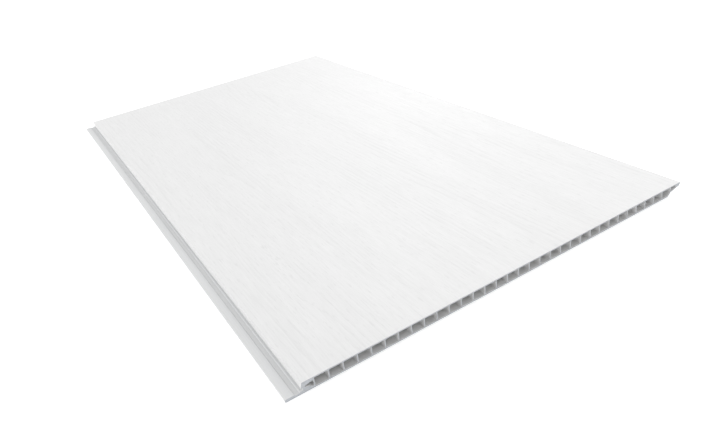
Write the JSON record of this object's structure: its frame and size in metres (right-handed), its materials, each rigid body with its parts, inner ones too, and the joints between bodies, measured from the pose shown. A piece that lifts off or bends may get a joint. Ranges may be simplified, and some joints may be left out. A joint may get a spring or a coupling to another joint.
{
  "type": "cladding panel",
  "caption": "White hollow multi-cell plastic cladding panel with a faint ash grain face, a low nailing flange along one edge and a tapered cover lip along the other.",
  "frame": {"origin": "middle of the panel's bounding box, on the plane of its back", "axes": "+Y along the extrusion, +X across it from the nailing flange to the cover lip, +Z out of the decorative face"},
  "size_m": [0.3877, 0.68, 0.009],
  "materials": {
    "white_pvc": "white rigid PVC, satin, with a very faint embossed ash grain on the face and plain walls, flange and sawn ends"
  },
  "bodies": {
    "root": {"cladding_panel": "white_pvc"}
  },
  "joints": []
}
